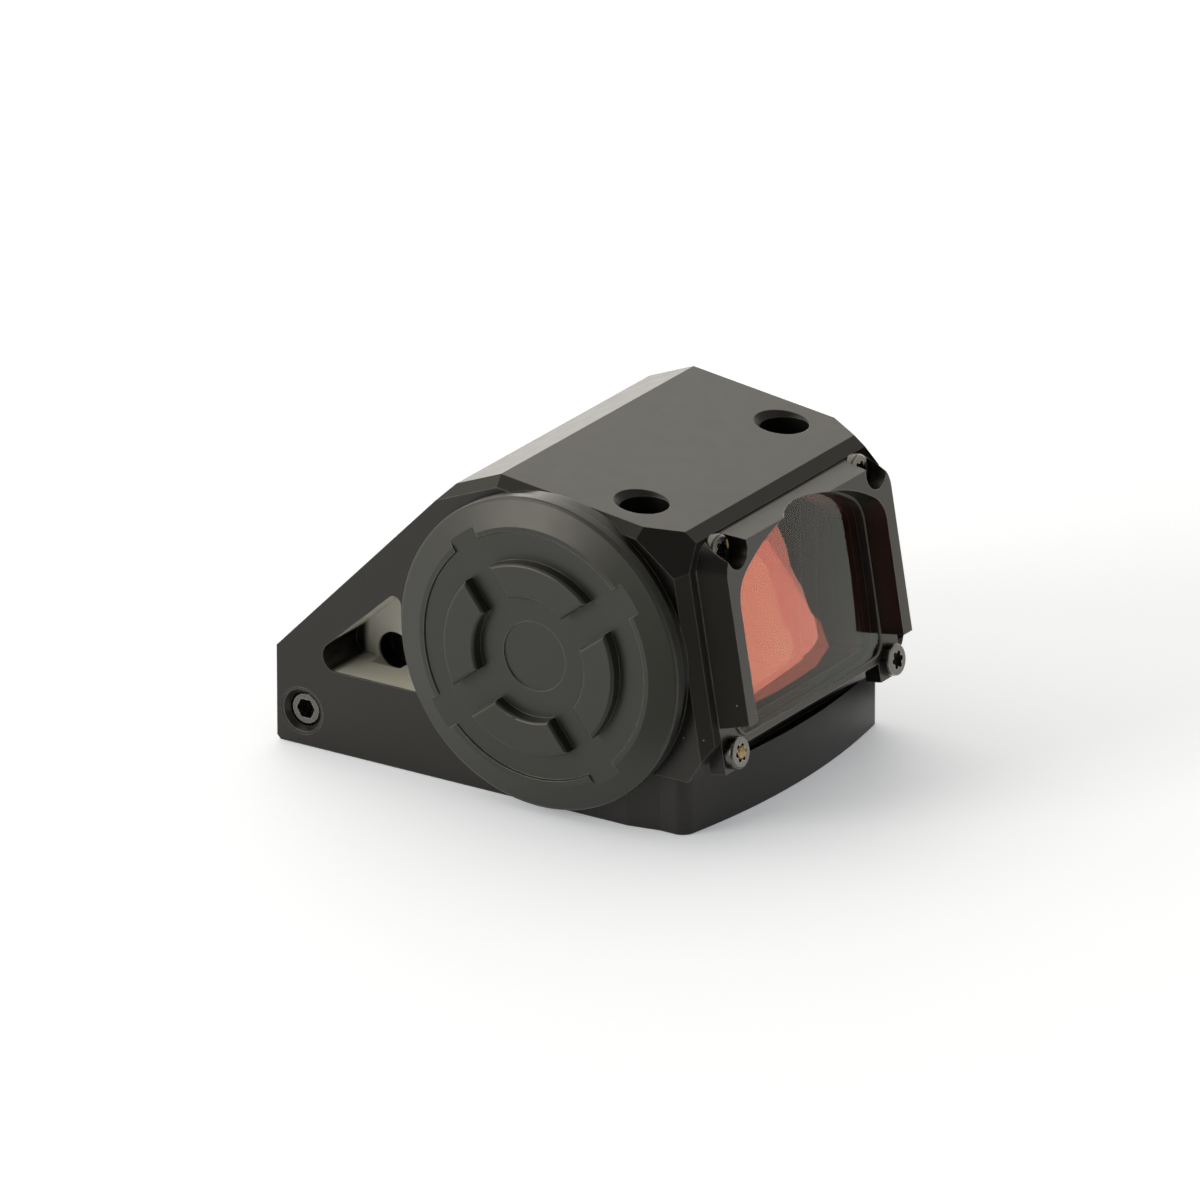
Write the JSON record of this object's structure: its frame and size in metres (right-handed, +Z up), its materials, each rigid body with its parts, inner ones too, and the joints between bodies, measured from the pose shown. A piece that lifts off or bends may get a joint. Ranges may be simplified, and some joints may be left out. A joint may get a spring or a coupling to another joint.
{
  "type": "enclosed red dot finder",
  "caption": "Compact enclosed reflex sight with a screw-on side battery cap, glazed front hood, adjustable dot and two vertical mounting bolts.",
  "frame": {"origin": "on the mounting face, midway between the two mounting holes", "axes": "+X towards the front lens, +Z up, -Y towards the battery cap"},
  "size_m": [0.0445, 0.0346, 0.0279],
  "materials": {
    "body_black": "matte hard anodised",
    "cap_black": "fine matte anodised",
    "screw_steel": "black oxide",
    "spring_steel": "bright",
    "inner_aluminium": "matte anodised",
    "contact_brass": "plated",
    "cell_can": "satin nickel",
    "seal_rubber": "matte",
    "button_rubber": "matte",
    "dark_plastic": "matte",
    "board_green": "solder mask",
    "led_lens": "clear red",
    "clear_glass": "antireflection coated",
    "coated_glass": "red reflecting coating"
  },
  "bodies": {
    "body": {"housing": "body_black", "bottom_cover": "body_black", "bottom_gasket": "seal_rubber", "bottom_screws": "screw_steel", "front_bezel": "body_black", "bezel_screws": "screw_steel", "front_lens_outer": "coated_glass", "front_lens_inner": "coated_glass", "front_lens_seal": "seal_rubber", "rear_window": "clear_glass", "rear_window_seal": "seal_rubber", "rear_frame": "body_black", "rear_frame_screws": "screw_steel", "battery": "cell_can", "battery_insulator": "dark_plastic", "battery_contact": "contact_brass", "windage_bushing": "cap_black", "carriage_spring": "spring_steel", "elevation_bushing": "cap_black", "main_board": "board_green", "board_screws": "screw_steel", "inner_floor": "dark_plastic", "keypad_cover": "body_black", "keypad_gasket": "seal_rubber", "keypad_screws": "screw_steel", "switch_board": "board_green", "switch_bodies": "dark_plastic", "switch_domes": "spring_steel"},
    "cap_ring": {"cap_o_ring": "seal_rubber"},
    "cap": {"battery_cap": "cap_black", "cap_thread_ring": "cap_black", "cap_contact_disc": "contact_brass"},
    "windage": {"windage_screw": "screw_steel", "windage_clip": "spring_steel"},
    "carriage": {"lateral_carriage": "contact_brass"},
    "emitter": {"emitter_block": "inner_aluminium", "led_board": "board_green", "led": "led_lens"},
    "elevation_nut_slide": {"elevation_nut": "contact_brass"},
    "elevation": {"elevation_screw": "screw_steel", "elevation_clip": "spring_steel"},
    "up_key": {"button_up": "button_rubber"},
    "down_key": {"button_down": "button_rubber"}
  },
  "joints": [
    {"name": "cap_turn_travel", "type": "slide", "parent": "body", "child": "cap_ring", "axis": [0, -1, 0], "range_m": [0, 0.00225]},
    {"name": "cap_turn", "type": "hinge", "parent": "cap_ring", "child": "cap", "pos_m": [-0.006, -0.0154, 0.0141], "axis": [0, -1, 0], "range_deg": [0, 1080]},
    {"name": "windage_turn", "type": "hinge", "parent": "body", "child": "windage", "pos_m": [-0.03055, -0.0148, 0.003], "axis": [0, -1, 0], "range_deg": [-540, 540]},
    {"name": "carriage_shift", "type": "slide", "parent": "body", "child": "carriage", "axis": [0, 1, 0], "range_m": [-0.0006, 0.0006]},
    {"name": "emitter_lift", "type": "slide", "parent": "carriage", "child": "emitter", "axis": [0, 0, 1], "range_m": [-0.0004, 0.0004]},
    {"name": "elevation_travel", "type": "slide", "parent": "body", "child": "elevation_nut_slide", "axis": [0, 0, 1], "range_m": [-0.0004, 0.0004]},
    {"name": "elevation_turn", "type": "hinge", "parent": "body", "child": "elevation", "pos_m": [-0.02945, 0, 0.009], "axis": [0, 0, 1], "range_deg": [-320, 320]},
    {"name": "up_press", "type": "slide", "parent": "body", "child": "up_key", "axis": [0, -1, 0], "range_m": [0, 0.0003], "stiffness_N_per_m": 4000},
    {"name": "down_press", "type": "slide", "parent": "body", "child": "down_key", "axis": [0, -1, 0], "range_m": [0, 0.0003], "stiffness_N_per_m": 4000}
  ],
  "couplings": [
    {"joint": "cap_turn", "follows": "cap_turn_travel", "rad_per_m": 8377.5},
    {"joint": "windage_turn", "follows": "carriage_shift", "rad_per_m": 15708},
    {"joint": "elevation_turn", "follows": "elevation_travel", "rad_per_m": 13963},
    {"joint": "emitter_lift", "follows": "elevation_travel", "ratio": 1}
  ]
}
